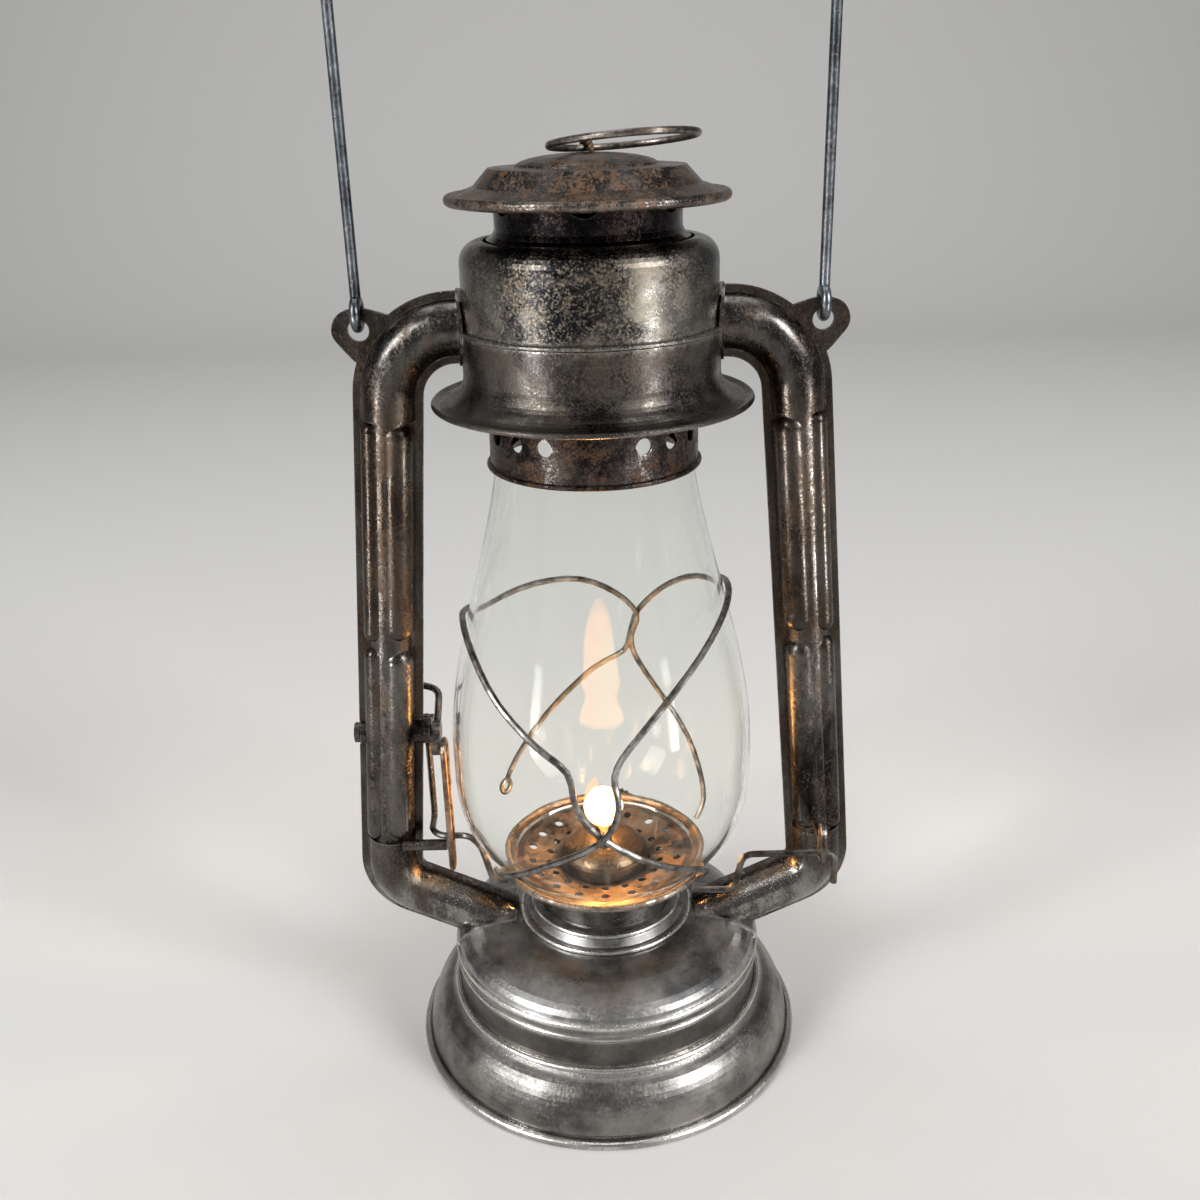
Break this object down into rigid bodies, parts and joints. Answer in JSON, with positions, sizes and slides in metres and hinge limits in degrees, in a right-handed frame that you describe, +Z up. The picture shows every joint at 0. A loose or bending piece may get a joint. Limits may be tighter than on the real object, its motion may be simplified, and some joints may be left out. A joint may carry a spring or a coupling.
{
  "type": "hurricane lantern",
  "caption": "Oil lantern with a glass globe between two side air tubes, wire guards, a lever that lifts the globe, a vented hood and cap, and a swinging wire bail.",
  "frame": {"origin": "middle of the foot ring, on the surface that the lantern stands on", "axes": "+Z up, +X towards the tube without the lever, -Y towards the front"},
  "size_m": [0.1508, 0.12, 0.3681],
  "materials": {
    "fount": "worn, half polished",
    "tube_steel": "tarnished",
    "hood_steel": "mottled by heat",
    "crown_steel": "rusty and sooty",
    "burner_brass": "tarnished",
    "plate_steel": "rusty",
    "wire_steel": "dull",
    "globe_glass": "clear",
    "wick_cloth": "woven cotton",
    "gasket_rubber": "matte"
  },
  "bodies": {
    "frame": {"base_skirt": "fount", "tank_cup": "fount", "tank_dome": "fount", "burner_collar": "fount", "filler_neck": "fount", "left_tube_front": "tube_steel", "left_tube_rear": "tube_steel", "right_tube_front": "tube_steel", "right_tube_rear": "tube_steel", "left_tube_saddle": "fount", "right_tube_saddle": "fount", "left_tube_collar": "tube_steel", "right_tube_collar": "tube_steel", "hood_skirt": "hood_steel", "hood_dome": "hood_steel", "chimney_guide": "hood_steel", "crown_spring": "wire_steel", "burner_base": "burner_brass", "wick_tube": "burner_brass", "burner_cone": "burner_brass", "lever_bushing": "tube_steel", "right_eye": "tube_steel", "arm_rest": "tube_steel"},
    "globe_carriage": {"globe_plate": "plate_steel", "globe": "globe_glass", "left_arm": "wire_steel", "right_arm": "wire_steel", "lift_link": "wire_steel", "guard_wire_right": "wire_steel", "guard_wire_left": "wire_steel"},
    "lever": {"lift_lever": "wire_steel"},
    "crown": {"crown_collar": "crown_steel", "globe_seat": "crown_steel", "chimney": "crown_steel", "cap": "crown_steel", "ring_staple": "crown_steel"},
    "crown_ring": {"lift_ring": "wire_steel"},
    "bail": {"bail": "wire_steel"},
    "wick": {"wick": "wick_cloth"},
    "wick_spindle": {"wick_shaft": "burner_brass", "wick_knob": "burner_brass"},
    "filler_lid": {"filler_cap": "fount", "filler_gasket": "gasket_rubber"}
  },
  "joints": [
    {"name": "globe_lift", "type": "slide", "parent": "frame", "child": "globe_carriage", "axis": [0, 0, 1], "range_m": [0, 0.00665], "deforming": ["crown_spring"]},
    {"name": "lever_turn", "type": "hinge", "parent": "frame", "child": "lever", "pos_m": [0, 0, 0.10522], "axis": [-1, 0, 0], "range_deg": [0, 70]},
    {"name": "crown_rise", "type": "slide", "parent": "globe_carriage", "child": "crown", "axis": [0, 0, 1], "range_m": [0, 0.01], "stiffness_N_per_m": 80, "springref_m": -0.02, "deforming": ["crown_spring"]},
    {"name": "ring_tilt", "type": "hinge", "parent": "crown", "child": "crown_ring", "pos_m": [0, 0, 0.26712], "axis": [-0.866, -0.5, 0], "range_deg": [-6, 165]},
    {"name": "bail_swing", "type": "hinge", "parent": "frame", "child": "bail", "pos_m": [0, 0, 0.22792], "axis": [1, 0, 0], "range_deg": [-155, 155]},
    {"name": "knob_turn", "type": "hinge", "parent": "frame", "child": "wick_spindle", "pos_m": [0.00475, 0, 0.0531], "axis": [0, 1, 0], "range_deg": [-55, 147]},
    {"name": "wick_rise", "type": "slide", "parent": "frame", "child": "wick", "axis": [0, 0, 1], "range_m": [-0.003, 0.008]},
    {"name": "filler_lift", "type": "slide", "parent": "frame", "child": "filler_lid", "axis": [0.2306, 0.2952, 0.9272], "range_m": [0, 0.012]}
  ],
  "couplings": [
    {"joint": "lever_turn", "follows": "globe_lift", "rad_per_m": 183.62},
    {"joint": "wick_rise", "follows": "knob_turn", "m_per_rad": 0.0031}
  ]
}
